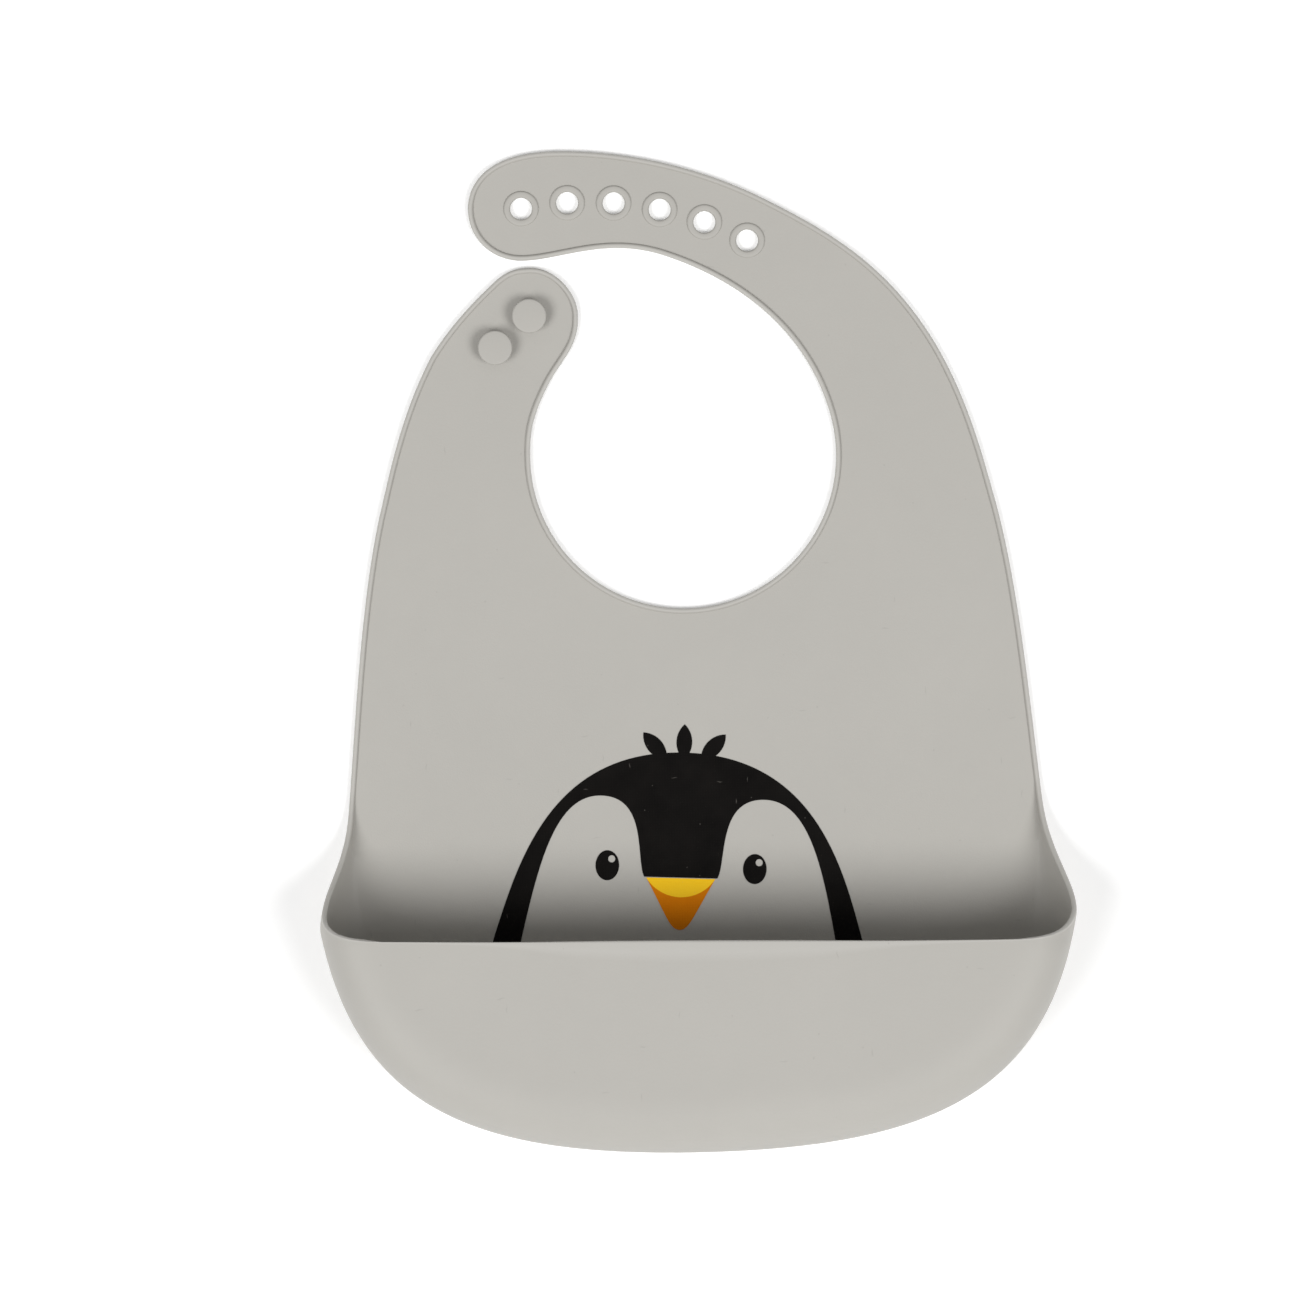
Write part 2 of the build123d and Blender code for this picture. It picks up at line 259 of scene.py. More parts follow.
# a section runs from the back edge up the outside, over the rim and down to the sheet
wallShape = {
    "sheet": 1.6,           # thickness of the flat sheet
    "rimHeight": 2.6,
    "backRound": 0.6,       # rounding of the back edge
    "foot": 1.55,           # wall thickness by the sheet
    "wall": 1.8,
    "lipThin": 0.35,        # the pocket's lip is this much thinner than its wall
    "lipThinOver": 6,
    "lipSkew": 0.022,       # the lip's line turns by this slope
    "lipSag": 0.00006,      # and its ends rise by this share of the squared distance
    "lipHeight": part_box("catch_pocket")[1].z / mm,
    "lipRise": 65.2,
    "clear": 0.02,          # the level stays this much lower, so that the lip's height reaches it
    "frontSlope": 2.2,      # in front of the lip the level rises this steeply, so nothing is cut there
    "footOver": 6,          # the wall reaches its full thickness at this height
    "lipStep": 0.3,         # first step down the inside
    "outer": 46, "lip": 7, "inner": 38,         # points up the outside, over the rim and down the inside
}

lipY = bottomY + wallShape["lipRise"]
topZ = wallShape["lipHeight"]
sheet = wallShape["sheet"]

# how far the pocket is drawn in at each height: rounded bottom, full side, rounded top, flat front
drawIn = np.vstack([
    bezier([(14, 0), (6, 0), (0, 10), (0, 24)], np.linspace(0, 1, 110, endpoint=False)),
    bezier([(0, 24), (0, topZ - 5.5), (5, topZ), (18, topZ)], np.linspace(0, 1, 90, endpoint=False)),
    bezier([(18, topZ), (35, topZ), (50, topZ), (75, topZ)], np.linspace(0, 1, 80)),
])

# the rim seen from the side, from the waist up to the lip
rimPath = bezier([(splitY, wallShape["rimHeight"]), (splitY - 20, 4.1), (lipY + 10, topZ / 2), (lipY, topZ)],
                 np.linspace(0, 1, 200))[::-1]


def rimLevel(xy, pocket):
    # the height at which the outside ends and the rim begins
    lipShift = wallShape["lipSag"] * xy[:, 0] ** 2 - wallShape["lipSkew"] * xy[:, 0]
    half = wallShape["wall"] / 2
    y = xy[:, 1] - pocket * (lipShift - half)
    level = np.interp(y, rimPath[:, 0], rimPath[:, 1])
    beyond = np.maximum(rimPath[0, 0] - y, 0) * wallShape["frontSlope"]
    return level + beyond - half * (1 - pocket) - wallShape["clear"]


def outerSide(i):
    # one section's outside, from the back up to where the rim begins
    z = drawIn[:, 1]
    radius = wallShape["backRound"]
    rounding = radius - np.sqrt(np.maximum(radius ** 2 - np.maximum(radius - z, 0) ** 2, 0))
    xy = base[i] + drawIn[:, :1] * draw[i] + ((1 - share[i]) * rounding)[:, None] * inward[i]
    over = z - rimLevel(xy, share[i])
    stop = int(np.argmax(over >= 0)) or len(z) - 1
    path = np.column_stack([xy, z])
    part = over[stop - 1] / (over[stop - 1] - over[stop])
    end = path[stop - 1] + part * (path[stop] - path[stop - 1])
    return resample(np.vstack([path[:stop], end]), wallShape["outer"], bend=8.0)


outer = np.array([outerSide(i) for i in range(count)])
up = unit(np.gradient(outer, axis=1))
onward = unit(np.roll(outer, -1, axis=0) - np.roll(outer, 1, axis=0))
flat = share == 0
onward[flat] = np.column_stack([-inward[:, 1], inward[:, 0], np.zeros(count)])[flat][:, None, :]
normal = unit(np.cross(up, onward))
normal *= np.sign(normal[:, 0, 2])[:, None, None]       # all turned to the inside


def wholeSection(i):
    wall = wallShape["wall"]
    z = outer[i, :, 2]
    toEnd = np.r_[np.cumsum(np.linalg.norm(np.diff(outer[i], axis=0), axis=1)[::-1])[::-1], 0]
    thick = wallShape["foot"] + (wall - wallShape["foot"]) * smoothstep(z / wallShape["footOver"])
    thick = thick - share[i] * wallShape["lipThin"] * np.exp(-(toEnd / wallShape["lipThinOver"]) ** 2)
    inner = outer[i] + normal[i] * thick[:, None]
    n, d, w = normal[i, -1], up[i, -1], thick[-1]
    centre = outer[i, -1] + n * w / 2
    turn = np.linspace(0, math.pi, 25)[1:-1]
    arc = centre - n * (w / 2) * np.cos(turn)[:, None] + d * (w / 2) * np.sin(turn)[:, None]
    lipEnd = 2 * wallShape["lip"] - 1
    lip = arc[:lipEnd:2]
    down = inner[::-1]
    low = int(np.argmax(down[:, 2] <= sheet)) or len(down) - 1
    part = (down[low - 1, 2] - sheet) / max(down[low - 1, 2] - down[low, 2], 1e-9)
    foot = down[low - 1] + part * (down[low] - down[low - 1])
    path = np.vstack([arc[lipEnd:], down[:low], foot])
    length = np.linalg.norm(np.diff(path, axis=0), axis=1).sum()
    power = max(1.0, math.log(max(length / wallShape["lipStep"], 1)) / math.log(wallShape["inner"]))
    innerSide = resample(path, wallShape["inner"], power=power)
    innerSide[-1, 2] = sheet
    section = np.vstack([outer[i], lip, innerSide])
    section[0, 2] = 0
    return section


sections = np.array([wholeSection(i) for i in range(count)])
rimRubAndHighlight = np.zeros(sections.shape[1])      # 1 on the rim, where the silicone is smoother from rubbing and a lighter painted highlight is laid on
rimRubAndHighlight[wallShape["outer"] - 2:wallShape["outer"] + wallShape["lip"] + 3] = 1.0
print("sections:", sections.shape)


meshRules = {"weld": 2e-6, "thinnest": 1e-7, "sharpAngle": 38}


def linkObject(name, data):
    thing = bpy.data.objects.new(name, data)
    bpy.context.scene.collection.objects.link(thing)
    return thing


def cleanMesh(mesh, weld, dissolve=True):
    work = bmesh.new()
    work.from_mesh(mesh)
    bmesh.ops.remove_doubles(work, verts=work.verts, dist=weld)
    if dissolve:
        bmesh.ops.dissolve_degenerate(work, dist=meshRules["thinnest"], edges=work.edges)
    bmesh.ops.recalc_face_normals(work, faces=work.faces)
    work.to_mesh(mesh)
    work.free()
    mesh.shade_smooth()
    mesh.set_sharp_from_angle(angle=math.radians(meshRules["sharpAngle"]))


def finishObject(name, vertices, faces, rim=None):
    mesh = bpy.data.meshes.new(name)
    mesh.from_pydata([tuple(v * mm) for v in vertices], [], faces)
    if rim is not None:
        mesh.attributes.new("rimRubAndHighlight", "FLOAT", "POINT").data.foreach_set("value", np.array(rim, np.float32))
    cleanMesh(mesh, meshRules["weld"])
    return linkObject(name, mesh)


def between(a, b, spacing=3.0):
    steps = max(2, round(np.linalg.norm(b - a) / spacing))
    return [a + (b - a) * k / steps for k in range(1, steps)]


def fillFlat(vertices, faces, loop, holes, spacing):
    # triangles inside a flat loop, with points inside so that the sheet can bend
    level = vertices[loop[0]][2]
    ids = list(loop)
    edges = [(k, (k + 1) % len(loop)) for k in range(len(loop))]
    for ring, _, _ in holes:
        first = len(ids)
        ids += ring
        edges += [(first + k, first + (k + 1) % len(ring)) for k in range(len(ring))]
    rimXY = np.array([vertices[i][:2] for i in ids])
    low, high = rimXY.min(0), rimXY.max(0)
    grid = []
    rowStep = spacing * 0.866       # rows of even triangles
    for row, y in enumerate(np.arange(low[1], high[1], rowStep)):
        xs = np.arange(low[0] + (row % 2) * spacing / 2, high[0], spacing)
        grid.append(np.column_stack([xs, np.full(len(xs), y)]))
    grid = np.vstack(grid)
    near = np.array([np.min(np.sum((rimXY - g) ** 2, axis=1)) for g in grid])
    grid = grid[near > (spacing * 0.55) ** 2]       # none too close to the edges
    points = [Vector(p) for p in rimXY] + [Vector(p) for p in grid]
    made = delaunay_2d_cdt(points, edges, [], 1, 1e-5)
    newId = {}
    for k, origin in enumerate(made[3]):
        known = [o for o in origin if o < len(ids)]
        if known:
            newId[k] = ids[known[0]]
        else:
            newId[k] = len(vertices)
            vertices.append(np.array((made[0][k][0], made[0][k][1], level)))
    for face in made[2]:
        middle = np.mean([vertices[newId[k]][:2] for k in face], axis=0)
        if any(np.linalg.norm(middle - centre) < radius * 0.99 for _, centre, radius in holes):
            continue
        faces.append([newId[k] for k in face])


holeSides = 48


def sheetPiece(name, runs, holes=(), spacing=4.0):
    # a closed piece from runs of sections, with flat cuts between the runs and holes through the sheet
    vertices, faces, ids = [], [], {}

    def put(points):
        first = len(vertices)
        vertices.extend(np.array(p, float) for p in points)
        return list(range(first, len(vertices)))

    for run in runs:
        for c in run:
            ids[c] = put(sections[c])
        for a, b in zip(run, run[1:]):
            for k in range(sections.shape[1] - 1):
                faces.append((ids[a][k], ids[b][k], ids[b][k + 1], ids[a][k + 1]))
    top, back = [], []
    for k, run in enumerate(runs):
        last, first = run[-1], runs[(k + 1) % len(runs)][0]
        topLine = put(between(vertices[ids[last][-1]], vertices[ids[first][-1]]))
        backLine = put(between(vertices[ids[last][0]], vertices[ids[first][0]]))
        faces.append(ids[last] + topLine + ids[first][::-1] + backLine[::-1])
        top += [ids[c][-1] for c in run] + topLine
        back += [ids[c][0] for c in run] + backLine
    topHoles, backHoles = [], []
    for centre, radius in holes:
        ring = [around(centre, 360 * k / holeSides, radius) for k in range(holeSides)]
        upper = put([(x, y, sheet) for x, y in ring])
        lower = put([(x, y, 0) for x, y in ring])
        topHoles.append((upper, np.array(centre), radius))
        backHoles.append((lower, np.array(centre), radius))
        for k in range(holeSides):
            j = (k + 1) % holeSides
            faces.append((upper[k], upper[j], lower[j], lower[k]))
    fillFlat(vertices, faces, top, topHoles, spacing)
    fillFlat(vertices, faces, back, backHoles, spacing)
    # the rim mask carries both the rim's smoother finish and its painted highlight
    rim = np.zeros(len(vertices), np.float32)
    for column in ids.values():
        rim[column] = rimRubAndHighlight
    return finishObject(name, vertices, faces, rim)


def runBetween(first, last):
    if last < first:
        last += count
    return [k % count for k in range(first, last + 1)]


cutPlaces = {}
for place, name, _ in cuts:
    cutPlaces.setdefault(name, []).append(place)
tipOut, tipIn = cutPlaces["hole_strap_tip_flex"]
midOut, midIn = cutPlaces["hole_strap_mid_flex"]
rootOut, rootIn = cutPlaces["hole_strap_root_flex"]
tabOut, tabIn = cutPlaces["stud_strap_flex"]

holeRadius = mounts["hole_1"]["dims"]["r_mm"]
holeCentres = [np.array(mounts[f"hole_{k}"]["pos_m"][:2]) / mm for k in range(1, 7)]
tipHoles, midHoles = holeCentres[:3], holeCentres[3:]

bibBody = sheetPiece("bibBody", [runBetween(rootOut, tabOut), runBetween(tabIn, rootIn)], spacing=5.0)
strapRoot = sheetPiece("strapRoot", [runBetween(midOut, rootOut), runBetween(rootIn, midIn)], spacing=3.2)
strapMid = sheetPiece("strapMid", [runBetween(tipOut, midOut), runBetween(midIn, tipIn)],
                      [(c, holeRadius) for c in midHoles], spacing=2.4)
strapTip = sheetPiece("strapTip", [runBetween(tipIn, tipOut)],
                      [(c, holeRadius) for c in tipHoles], spacing=2.4)
studTab = sheetPiece("studTab", [runBetween(tabOut, tabIn)], spacing=2.6)
print("silicone sheets made")


def newGroup(name, inputs, outputs):
    group = bpy.data.node_groups.new(name, "ShaderNodeTree")
    for label, kind, value in inputs:
        socket = group.interface.new_socket(label, in_out="INPUT", socket_type=kind)
        socket.default_value = value
    for label, kind in outputs:
        group.interface.new_socket(label, in_out="OUTPUT", socket_type=kind)
    return group, group.nodes.new("NodeGroupInput"), group.nodes.new("NodeGroupOutput")


def addNode(tree, kind, settings=None, **sockets):
    node = tree.nodes.new(kind)
    for key, value in (settings or {}).items():
        setattr(node, key, value)
    for key, value in sockets.items():
        key = key.replace("_", " ")
        socket = node.inputs[int(key[1:])] if key[0] == "n" and key[1:].isdigit() else node.inputs[key]
        if isinstance(value, bpy.types.NodeSocket):
            tree.links.new(value, socket)
        else:
            socket.default_value = value
    return node


def doMath(tree, operation, a, b=0.0, c=0.0, clamp=False):
    settings = {"operation": operation, "use_clamp": clamp}
    return addNode(tree, "ShaderNodeMath", settings, n0=a, n1=b, n2=c).outputs[0]


def mouldGrain():
    # height of the mould's fine satin grain, soft ripples and the sheet's slow waves
    group, start, end = newGroup("mouldGrain", [
        ("Grain Scale", "NodeSocketFloat", 1900.0), ("Grain", "NodeSocketFloat", 0.35),
        ("Ripple Scale", "NodeSocketFloat", 160.0), ("Ripple", "NodeSocketFloat", 0.3),
        ("Wave Scale", "NodeSocketFloat", 11.0), ("Wave", "NodeSocketFloat", 1.0)],
        [("Height", "NodeSocketFloat")])
    place = addNode(group, "ShaderNodeTexCoord").outputs["Object"]
    total = None
    for label, detail in (("Grain", 2.0), ("Ripple", 3.0), ("Wave", 1.0)):
        noise = addNode(group, "ShaderNodeTexNoise", Vector=place, Scale=start.outputs[label + " Scale"],
                        Detail=detail, Roughness=0.55).outputs["Fac"]
        part = doMath(group, "MULTIPLY", noise, start.outputs[label])
        total = part if total is None else doMath(group, "ADD", total, part)
    group.links.new(total, end.inputs["Height"])
    return group


def softMottle():
    # slow cloudy change of tone, between 0 and 1
    group, start, end = newGroup("softMottle", [
        ("Scale", "NodeSocketFloat", 22.0), ("Contrast", "NodeSocketFloat", 1.6)],
        [("Mottle", "NodeSocketFloat")])
    place = addNode(group, "ShaderNodeTexCoord").outputs["Object"]
    wide = addNode(group, "ShaderNodeTexNoise", Vector=place, Scale=start.outputs["Scale"], Detail=4.0,
                   Roughness=0.6).outputs["Fac"]
    centred = doMath(group, "SUBTRACT", wide, 0.5)
    mottle = doMath(group, "MULTIPLY_ADD", centred, start.outputs["Contrast"], 0.5, clamp=True)
    group.links.new(mottle, end.inputs["Mottle"])
    return group


def lintSpecks():
    # small specks and short hairs of lint that cling to the front, between 0 and 1
    group, start, end = newGroup("lintSpecks", [
        ("Spacing", "NodeSocketFloat", 170.0), ("Size", "NodeSocketFloat", 0.045),
        ("Amount", "NodeSocketFloat", 0.4)], [("Specks", "NodeSocketFloat")])
    place = addNode(group, "ShaderNodeTexCoord").outputs["Object"]
    bent = addNode(group, "ShaderNodeTexNoise", Vector=place, Scale=420.0, Detail=1.0).outputs["Color"]
    moved = addNode(group, "ShaderNodeVectorMath", {"operation": "MULTIPLY_ADD"}, n0=bent,
                    n1=(0.0012, 0.0012, 0.0), n2=place).outputs[0]
    total = None
    for stretch, turn in (((1.0, 1.0, 0.0), 0.3), ((0.22, 1.6, 0.0), 0.9), ((1.5, 0.25, 0.0), 2.1)):
        mapped = addNode(group, "ShaderNodeMapping", Vector=moved, Rotation=(0.0, 0.0, turn),
                         Scale=stretch).outputs[0]
        cells = addNode(group, "ShaderNodeTexVoronoi", {"voronoi_dimensions": "2D"}, Vector=mapped,
                        Scale=start.outputs["Spacing"])
        near = doMath(group, "SUBTRACT", 1.0, doMath(group, "DIVIDE", cells.outputs["Distance"],
                                                     start.outputs["Size"]), clamp=True)
        tint = addNode(group, "ShaderNodeSeparateColor", Color=cells.outputs["Color"]).outputs[0]
        kept = doMath(group, "LESS_THAN", tint, start.outputs["Amount"])
        part = doMath(group, "MULTIPLY", near, kept)
        total = part if total is None else doMath(group, "MAXIMUM", total, part)
    group.links.new(total, end.inputs["Specks"])
    return group


def screenMesh():
    # the faint weave that a print screen leaves in ink
    group, start, end = newGroup("screenMesh", [("Threads", "NodeSocketFloat", 2400.0)],
                                 [("Weave", "NodeSocketFloat")])
    place = addNode(group, "ShaderNodeTexCoord").outputs["Object"]
    waves = []
    for direction in ("X", "Y"):
        scaled = doMath(group, "DIVIDE", start.outputs["Threads"], 6.283)
        waves.append(addNode(group, "ShaderNodeTexWave", {"bands_direction": direction}, Vector=place,
                             Scale=scaled, Distortion=0.4, Detail=1.0).outputs["Fac"])
    group.links.new(doMath(group, "MULTIPLY", waves[0], waves[1]), end.inputs["Weave"])
    return group


grainGroup, mottleGroup, lintGroup, weaveGroup = mouldGrain(), softMottle(), lintSpecks(), screenMesh()


def useGroup(tree, group, **inputs):
    node = tree.nodes.new("ShaderNodeGroup")
    node.node_tree = group
    for key, value in inputs.items():
        node.inputs[key.replace("_", " ")].default_value = value
    return node.outputs[0]


def mixColour(tree, share, a, b):
    node = tree.nodes.new("ShaderNodeMix")
    node.data_type = "RGBA"
    for socket, value in ((node.inputs[0], share), (node.inputs[6], a), (node.inputs[7], b)):
        if isinstance(value, bpy.types.NodeSocket):
            tree.links.new(value, socket)
        else:
            socket.default_value = value
    return node.outputs[2]


def startMaterial(name):
    material = bpy.data.materials.new(name)
    material.use_nodes = True
    tree = material.node_tree
    return material, tree, tree.nodes["Principled BSDF"]


siliconeFinish = {
    "pale": (0.459, 0.444, 0.411, 1), "deep": (0.430, 0.417, 0.387, 1),
    # the rim's lighter colour is a painted highlight, standing in for the light the rounded rim catches
    "rimHighlight": (0.492, 0.479, 0.449, 1), "lint": (0.28, 0.27, 0.25, 1),
    "roughness": 0.56, "bump": 0.00016, "specular": 0.32,
}


def matteSilicone():
    f = siliconeFinish
    material, tree, shader = startMaterial("matteSilicone")
    mottle = useGroup(tree, mottleGroup, Scale=20.0, Contrast=1.5)
    fineMottle = useGroup(tree, mottleGroup, Scale=140.0, Contrast=1.2)
    tone = doMath(tree, "MULTIPLY_ADD", fineMottle, 0.35, doMath(tree, "MULTIPLY", mottle, 0.65))
    colour = mixColour(tree, tone, f["deep"], f["pale"])
    rim = addNode(tree, "ShaderNodeAttribute", {"attribute_name": "rimRubAndHighlight"}).outputs["Fac"]
    # painted highlight: the rim is made lighter in colour, as if lit; the lower roughness below is its real
    # smoother wear
    colour = mixColour(tree, doMath(tree, "MULTIPLY", rim, 0.7), colour, f["rimHighlight"])
    faceNormal = addNode(tree, "ShaderNodeNewGeometry").outputs["Normal"]
    facing = addNode(tree, "ShaderNodeSeparateXYZ", Vector=faceNormal)
    onTop = doMath(tree, "GREATER_THAN", facing.outputs["Z"], 0.9)
    lint = useGroup(tree, lintGroup, Spacing=75.0, Size=0.028, Amount=0.22)
    lint = doMath(tree, "MULTIPLY", lint, onTop)
    colour = mixColour(tree, doMath(tree, "MULTIPLY", lint, 0.35), colour, f["lint"])
    tree.links.new(colour, shader.inputs["Base Color"])
    rough = doMath(tree, "MULTIPLY_ADD", tone, 0.10, f["roughness"] - 0.05)
    rough = doMath(tree, "MULTIPLY_ADD", rim, -0.10, rough)
    tree.links.new(rough, shader.inputs["Roughness"])
    height = useGroup(tree, grainGroup)
    bump = addNode(tree, "ShaderNodeBump", Height=height, Distance=f["bump"], Strength=0.8)
    tree.links.new(bump.outputs["Normal"], shader.inputs["Normal"])
    shader.inputs["Specular IOR Level"].default_value = f["specular"]
    return material


inkLayer = {"bump": 0.00012, "specular": 0.04, "weaveHeight": 0.12}
inkFinishes = {
    "blackInk": {"body": (0.0032, 0.0028, 0.0026, 1), "worn": (0.0085, 0.0074, 0.0066, 1), "roughness": 0.50,
                 "lint": (0.12, 0.11, 0.10, 1), "lintShare": 0.7},
    "yellowInk": {"body": (1.0, 0.585, 0.014, 1), "worn": (1.0, 0.63, 0.024, 1), "roughness": 0.46,
                  "lint": (0.55, 0.42, 0.2, 1), "lintShare": 0.3},
    "orangeInk": {"body": (0.68, 0.186, 0.0012, 1), "worn": (0.73, 0.22, 0.003, 1), "roughness": 0.46,
                  "lint": (0.42, 0.25, 0.1, 1), "lintShare": 0.3},
}


def printInk(name):
    f = inkFinishes[name]
    material, tree, shader = startMaterial(name)
    mottle = useGroup(tree, mottleGroup, Scale=90.0, Contrast=2.0)
    weave = useGroup(tree, weaveGroup)
    tone = doMath(tree, "MULTIPLY_ADD", weave, 0.25, doMath(tree, "MULTIPLY", mottle, 0.75))
    colour = mixColour(tree, tone, f["body"], f["worn"])
    lint = useGroup(tree, lintGroup, Spacing=230.0, Size=0.055, Amount=0.1)
    colour = mixColour(tree, doMath(tree, "MULTIPLY", lint, f["lintShare"]), colour, f["lint"])
    tree.links.new(colour, shader.inputs["Base Color"])
    rough = doMath(tree, "MULTIPLY_ADD", tone, 0.16, f["roughness"] - 0.06)
    tree.links.new(rough, shader.inputs["Roughness"])
    grain = useGroup(tree, grainGroup, Grain=0.2, Ripple=0.6, Wave=0.6)
    height = doMath(tree, "MULTIPLY_ADD", weave, inkLayer["weaveHeight"], grain)
    bump = addNode(tree, "ShaderNodeBump", Height=height, Distance=inkLayer["bump"], Strength=0.8)
    tree.links.new(bump.outputs["Normal"], shader.inputs["Normal"])
    shader.inputs["Specular IOR Level"].default_value = inkLayer["specular"]
    return material


silicone = matteSilicone()
inks = {name: printInk(name) for name in inkFinishes}
print("materials made")


# eyelets: a raised ring round each hole
ringLow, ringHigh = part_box("eyelet_1")
eyeletShape = {
    "Hole Diameter": 2 * holeRadius * mm,
    "Ring Diameter": ringHigh.x - ringLow.x,
    "Height": ringHigh.z - sheet * mm,
    "Edge": 0.62 * mm,      # rounding
    "Segments": 48,
    "Finish": silicone,
}


def newTree(name, inputs):
    tree = bpy.data.node_groups.new(name, "GeometryNodeTree")
    for label, kind in [("Geometry", "Geometry")] + inputs + [("Finish", "Material")]:
        tree.interface.new_socket(label, in_out="INPUT", socket_type="NodeSocket" + kind)
    tree.interface.new_socket("Geometry", in_out="OUTPUT", socket_type="NodeSocketGeometry")
    return tree, tree.nodes.new("NodeGroupInput"), tree.nodes.new("NodeGroupOutput")


def setOut(tree, points, shape, start, end):
    # a copy of the shape at each point, made real and given its finish
    copies = addNode(tree, "GeometryNodeInstanceOnPoints", Points=points, Instance=shape)
    real = addNode(tree, "GeometryNodeRealizeInstances", Geometry=copies.outputs[0])
    painted = addNode(tree, "GeometryNodeSetMaterial", Geometry=real.outputs[0],
                      Material=start.outputs["Finish"])
    tree.links.new(painted.outputs[0], end.inputs["Geometry"])


def eyeletTree():
    tree, start, end = newTree("eyeletRings", [
        ("Hole Diameter", "Float"), ("Ring Diameter", "Float"), ("Height", "Float"), ("Edge", "Float"),
        ("Segments", "Int")])
    hole, ring = start.outputs["Hole Diameter"], start.outputs["Ring Diameter"]
    height, edge = start.outputs["Height"], start.outputs["Edge"]
    middle = doMath(tree, "MULTIPLY", doMath(tree, "ADD", hole, ring), 0.25)
    width = doMath(tree, "MULTIPLY", doMath(tree, "SUBTRACT", ring, hole), 0.5)
    half = doMath(tree, "MULTIPLY", width, 0.5)
    inside = doMath(tree, "SUBTRACT", 0.0, half)
    sunk = doMath(tree, "SUBTRACT", 0.0, edge)      # the foot sits in the sheet by its own rounding
    corners = [addNode(tree, "ShaderNodeCombineXYZ", X=x, Y=y).outputs[0]
               for x, y in ((half, sunk), (half, height), (inside, height), (inside, sunk))]
    circle = addNode(tree, "GeometryNodeCurvePrimitiveCircle", Radius=middle,
                     Resolution=start.outputs["Segments"])
    band = tree.nodes.new("GeometryNodeCurvePrimitiveQuadrilateral")
    band.mode = "POINTS"
    for k, corner in enumerate(corners):
        tree.links.new(corner, band.inputs[f"Point {k + 1}"])
    rounded = addNode(tree, "GeometryNodeFilletCurve", {"mode": "POLY"}, Curve=band.outputs[0],
                      Radius=edge, Count=4, Limit_Radius=True)
    raised = addNode(tree, "GeometryNodeCurveToMesh", Curve=circle.outputs[0],
                     Profile_Curve=rounded.outputs[0])
    setOut(tree, start.outputs["Geometry"], raised.outputs[0], start, end)
    return tree


def studTree():
    tree, start, end = newTree("studPair", [("Count", "Int"), ("First", "Vector"), ("Step", "Vector")])
    line = addNode(tree, "GeometryNodeMeshLine", Count=start.outputs["Count"],
                   Start_Location=start.outputs["First"], Offset=start.outputs["Step"])
    setOut(tree, line.outputs[0], start.outputs["Geometry"], start, end)
    return tree


def runNodes(source, tree, name, values):
    # runs a tree on an object and keeps the result as a plain mesh
    modifier = source.modifiers.new("nodes", "NODES")
    modifier.node_group = tree
    for item in tree.interface.items_tree:
        if item.item_type == "SOCKET" and item.in_out == "INPUT" and item.name in values:
            modifier[item.identifier] = values[item.name]
    bpy.context.view_layer.update()
    graph = bpy.context.evaluated_depsgraph_get()
    mesh = bpy.data.meshes.new_from_object(source.evaluated_get(graph))
    bpy.data.objects.remove(source)
    mesh.name = name
    cleanMesh(mesh, meshRules["thinnest"], dissolve=False)
    return linkObject(name, mesh)


def holePoints(name, holes):
    mesh = bpy.data.meshes.new(name)
    mesh.from_pydata([(x * mm, y * mm, sheet * mm) for x, y in holes], [], [])
    return linkObject(name, mesh)


ringTree = eyeletTree()
eyeletsTip = runNodes(holePoints("tipHoles", tipHoles), ringTree, "eyeletsTip", eyeletShape)
eyeletsMid = runNodes(holePoints("midHoles", midHoles), ringTree, "eyeletsMid", eyeletShape)
print("eyelets made")


# studs: one turned mushroom, set out twice
studShape = {
    "stem": 2.9,            # radius
    "foot": 0.8,            # flare where the stem meets the sheet
    "sunk": 0.02,           # how far the stem goes into the sheet
    "head": 1.7,            # height of the head
    "edge": 0.55, "crown": 0.18, "under": 0.25,
    "rings": (0.8, 0.55, 0.3),      # shares of the head's radius, on its top
    "steps": 64,
}


def turnedStud():
    low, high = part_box("upper_stud")
    radius = (high.x - low.x) / 2 / mm
    s = studShape
    top = high.z / mm
    headLow = top - s["head"]
    foot = sheet - s["sunk"]
    profile = []
    for k in range(7):      # flared foot of the stem
        turn = math.radians(90 * k / 6)
        out, rise = s["foot"] * (1 - math.sin(turn)), s["foot"] * (1 - math.cos(turn))
        profile.append((s["stem"] + out, foot + rise))
    profile.append((s["stem"], headLow - s["under"]))
    profile.append((s["stem"] + s["under"], headLow))
    profile.append((radius - s["edge"], headLow))
    for k in range(1, 13):  # rounded rim of the head
        turn = math.radians(180 * k / 12)
        middle = (headLow + top - s["crown"]) / 2
        half = (top - s["crown"] - headLow) / 2
        profile.append((radius - s["edge"] + s["edge"] * math.sin(turn), middle - half * math.cos(turn)))
    for r in s["rings"]:
        profile.append(((radius - s["edge"]) * r, top - s["crown"] * r ** 2))
    vertices, faces = [], []
    steps = s["steps"]
    for r, z in profile:
        for k in range(steps):
            x, y = around((0, 0), 360 * k / steps, r)
            vertices.append(np.array((x, y, z)))
    for ring in range(len(profile) - 1):
        for k in range(steps):
            j = (k + 1) % steps
            faces.append((ring * steps + k, ring * steps + j, (ring + 1) * steps + j, (ring + 1) * steps + k))
    for ring, z in ((0, foot), (len(profile) - 1, top)):
        middle = len(vertices)
        vertices.append(np.array((0.0, 0.0, z)))
        for k in range(steps):
            faces.append((middle, ring * steps + k, ring * steps + (k + 1) % steps))
    return finishObject("studBlank", vertices, faces)


def boxMiddle(node):
    low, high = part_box(node)
    return np.array(((low.x + high.x) / 2, (low.y + high.y) / 2, 0))


upperStud, lowerStud = boxMiddle("upper_stud"), boxMiddle("lower_stud")
studs = runNodes(turnedStud(), studTree(), "studs", {
    "Count": 2, "First": tuple(upperStud), "Step": tuple(lowerStud - upperStud), "Finish": silicone})
print("studs made")


def jointPoint(name):
    return np.array(joints[name]["pos_m"]), np.array(joints[name]["axis"])


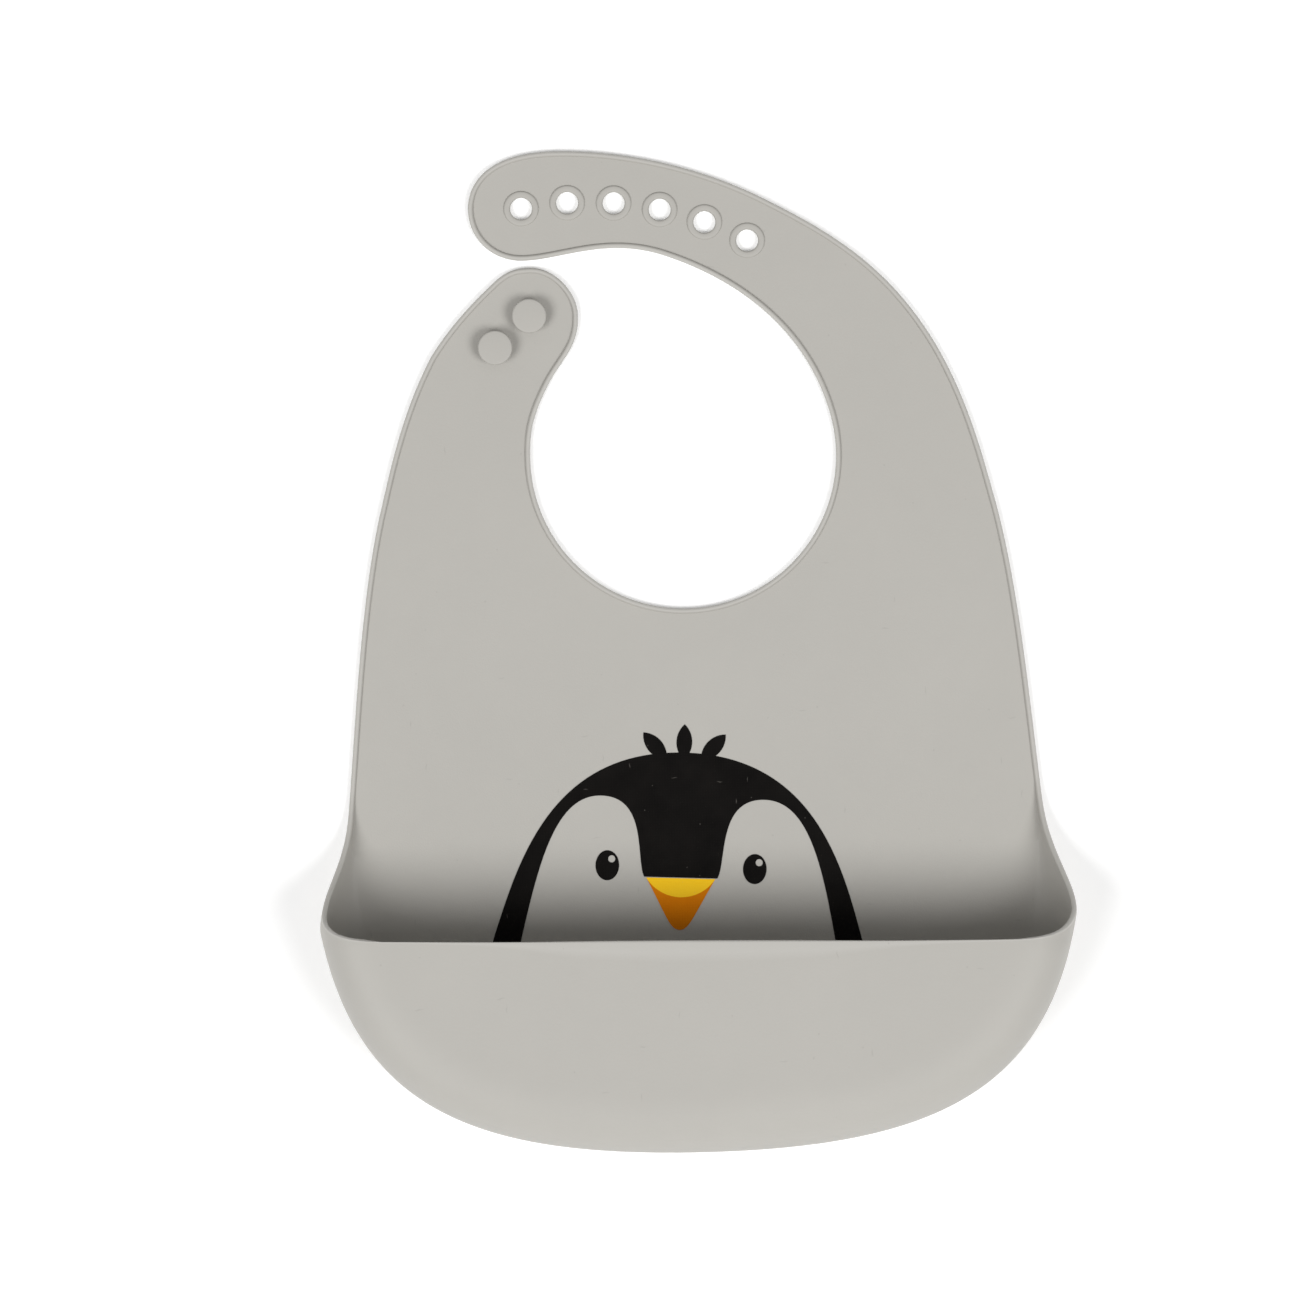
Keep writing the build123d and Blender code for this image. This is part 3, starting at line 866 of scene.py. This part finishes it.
def bendFrom(piece, name, nextName=None):
    # works out the hinge's point and the way ahead to the next hinge, and bakes the piece's placement into its
    # mesh; no bend is set up here
    point, axis = jointPoint(name)
    far = jointPoint(nextName)[0] if nextName else None
    ahead = unit(far - point) if nextName else np.cross((0, 0, 1), axis)
    ahead[2] = 0
    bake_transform(piece)


for piece in (bibBody, strapRoot, strapMid, strapTip, studTab):
    piece.data.materials.append(silicone)

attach(bibBody, "bib")
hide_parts("bib_panel", "catch_pocket")
bendFrom(strapRoot, "hole_strap_root_flex", "hole_strap_mid_flex")
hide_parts("hole_strap_root")
for piece in (strapMid, eyeletsMid):
    bendFrom(piece, "hole_strap_mid_flex", "hole_strap_tip_flex")
for piece in (strapTip, eyeletsTip):
    bendFrom(piece, "hole_strap_tip_flex")
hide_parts("hole_strap_mid")
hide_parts("hole_strap_tip")
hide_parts("eyelet_1", "eyelet_2", "eyelet_3")
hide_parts("eyelet_4", "eyelet_5", "eyelet_6")
bendFrom(studTab, "stud_strap_flex")
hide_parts("stud_strap")
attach(studs, "stud_tab")
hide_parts("upper_stud", "lower_stud")

printNodes = {"print_hood": "blackInk", "left_eye": "blackInk", "right_eye": "blackInk",
              "beak_upper": "yellowInk", "beak_lower": "orangeInk"}
for node, ink in printNodes.items():
    mesh = frame["nodes"][node].data
    mesh.materials.clear()
    mesh.materials.append(inks[ink])
print("pieces joined to the frame")


# floor, light and camera
stageLook = {
    "floor": (0.98, 0.98, 0.98, 1), "floorGlow": 0.16, "floorSize": 6.0, "floorGap": 0.00015, "sky": 0.31,
    "softboxPower": 264.0, "softboxSize": 2.6, "softboxDistance": 5.0, "softboxLean": (0.65, -0.36),
    "viewWidth": 0.3985, "viewHeight": 3.0, "viewX": -0.0126, "viewY": -0.0004, "viewRoll": 1.5,
}


def layFloor():
    mesh = bpy.data.meshes.new("floor")
    size = stageLook["floorSize"]
    low = cadLow.z - stageLook["floorGap"]
    mesh.from_pydata([(-size, -size, low), (size, -size, low), (size, size, low), (-size, size, low)], [],
                     [(0, 1, 2, 3)])
    floor = linkObject("floor", mesh)
    material, tree, shader = startMaterial("palePaper")
    shade = useGroup(tree, mottleGroup, Scale=6.0, Contrast=0.6)
    floorTone = stageLook["floor"]
    tree.links.new(mixColour(tree, shade, [c * 0.99 for c in floorTone[:3]] + [1], floorTone),
                   shader.inputs["Base Color"])
    shader.inputs["Roughness"].default_value = 0.9
    shader.inputs["Specular IOR Level"].default_value = 0.1
    shader.inputs["Emission Color"].default_value = (1, 1, 1, 1)
    shader.inputs["Emission Strength"].default_value = stageLook["floorGlow"]
    mesh.materials.append(material)


def hangLights():
    world = bpy.data.worlds.new("softRoom")
    world.use_nodes = True
    world.node_tree.nodes["Background"].inputs["Color"].default_value = (1, 1, 1, 1)
    world.node_tree.nodes["Background"].inputs["Strength"].default_value = stageLook["sky"]
    bpy.context.scene.world = world

    for name, hand in (("softboxLeft", -1), ("softboxRight", 1)):
        light = bpy.data.lights.new(name, "AREA")
        light.shape = "DISK"
        light.size = stageLook["softboxSize"]
        light.energy = stageLook["softboxPower"] / 2
        lamp = linkObject(name, light)
        lean = stageLook["softboxLean"]
        towards = Vector((hand * lean[0], lean[1], 1)).normalized()
        lamp.location = towards * stageLook["softboxDistance"]
        lamp.rotation_euler = towards.to_track_quat("Z", "Y").to_euler()
        lamp.visible_camera = False


def setCamera():
    camera = bpy.data.cameras.new("camera")
    camera.sensor_width = 36
    camera.lens = camera.sensor_width * stageLook["viewHeight"] / stageLook["viewWidth"]
    eye = linkObject("camera", camera)
    eye.location = (stageLook["viewX"], stageLook["viewY"], stageLook["viewHeight"])
    eye.rotation_euler = (0, 0, -math.radians(stageLook["viewRoll"]))
    camera.clip_end = 50
    bpy.context.scene.camera = eye
    bpy.context.scene.view_settings.view_transform = "Standard"
    bpy.context.scene.view_settings.look = "None"


layFloor()
hangLights()
setCamera()
print("stage set")
